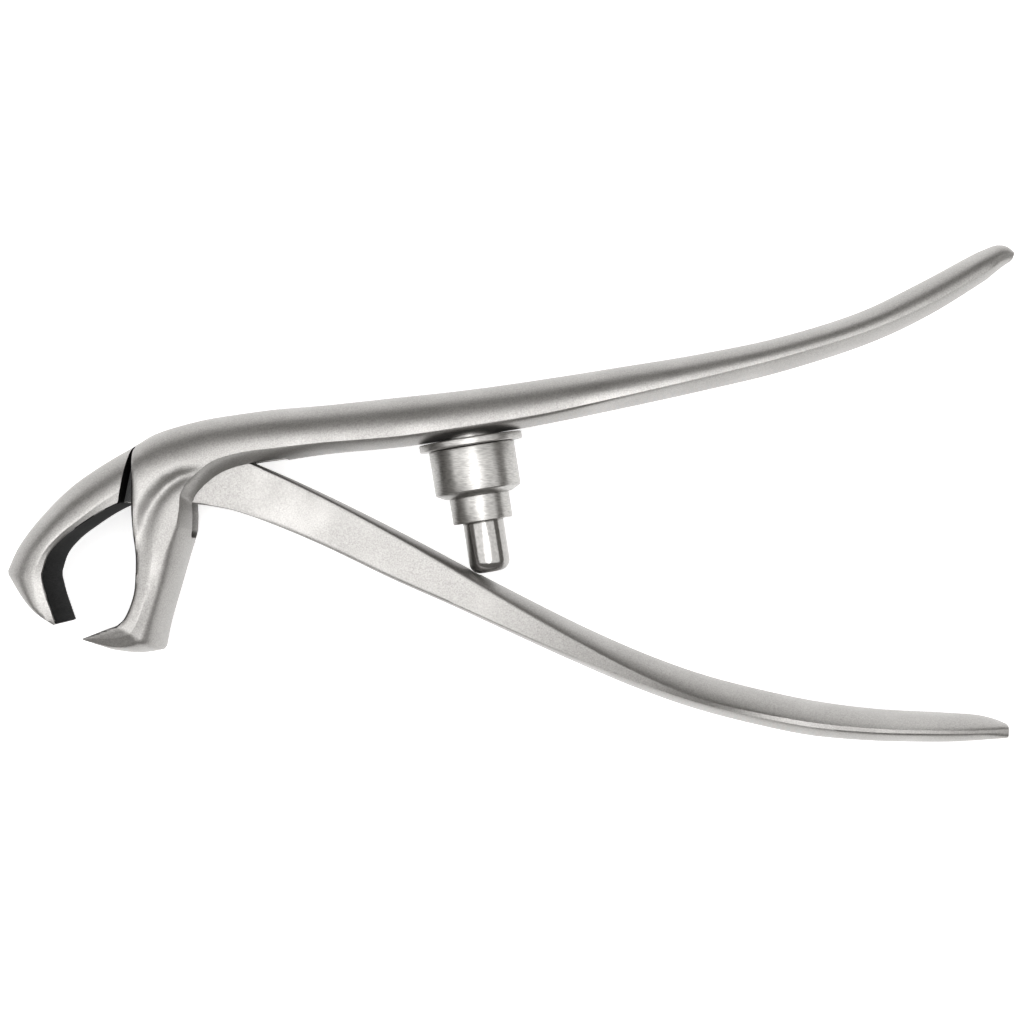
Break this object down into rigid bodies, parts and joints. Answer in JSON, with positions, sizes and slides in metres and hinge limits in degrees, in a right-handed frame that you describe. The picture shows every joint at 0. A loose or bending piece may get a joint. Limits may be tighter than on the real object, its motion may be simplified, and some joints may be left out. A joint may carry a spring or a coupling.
{
  "type": "nutcracker",
  "caption": "Pliers-type steel nutcracker with two crossed levers, curved jaws that meet at the tips, and a telescopic spring plunger between the handles.",
  "frame": {"origin": "on the table, under the middle of the tool's bounding box, with the tool lying flat on its side", "axes": "+X from the jaws to the ends of the handles, +Y towards the upper handle, +Z along the pivot pin"},
  "size_m": [0.1992, 0.0992, 0.0208],
  "materials": {
    "satin_steel": "fine satin, bead-blasted and brushed",
    "turned_steel": "finely turned",
    "polished_steel": "polished",
    "spring_steel": "drawn wire and strip"
  },
  "bodies": {
    "upper_lever": {"fixed_lever": "satin_steel", "pivot_pin": "satin_steel", "mount_flange": "turned_steel", "spring_barrel": "turned_steel", "return_spring": "spring_steel"},
    "lower_lever": {"swing_lever": "satin_steel"},
    "middle_stage": {"sleeve": "turned_steel", "sleeve_stop_ring": "spring_steel"},
    "plunger_stage": {"plunger": "polished_steel", "plunger_stop_ring": "spring_steel"}
  },
  "joints": [
    {"name": "pivot", "type": "hinge", "parent": "upper_lever", "child": "lower_lever", "pos_m": [-0.0685, 0.00715, 0.0104], "axis": [0, 0, 1], "range_deg": [0, 8.3], "stiffness_Nm_per_rad": 4, "springref_deg": -5.01},
    {"name": "sleeve_slide", "type": "slide", "parent": "upper_lever", "child": "middle_stage", "axis": [-0.1564, 0.9877, 0], "range_m": [0, 0.0035]},
    {"name": "plunger_slide", "type": "slide", "parent": "middle_stage", "child": "plunger_stage", "axis": [-0.1564, 0.9877, 0], "range_m": [0, 0.008], "deforming": ["return_spring"]}
  ],
  "couplings": [
    {"joint": "sleeve_slide", "follows": "pivot", "m_per_rad": 0.0235},
    {"joint": "plunger_slide", "follows": "pivot", "m_per_rad": 0.0548}
  ]
}
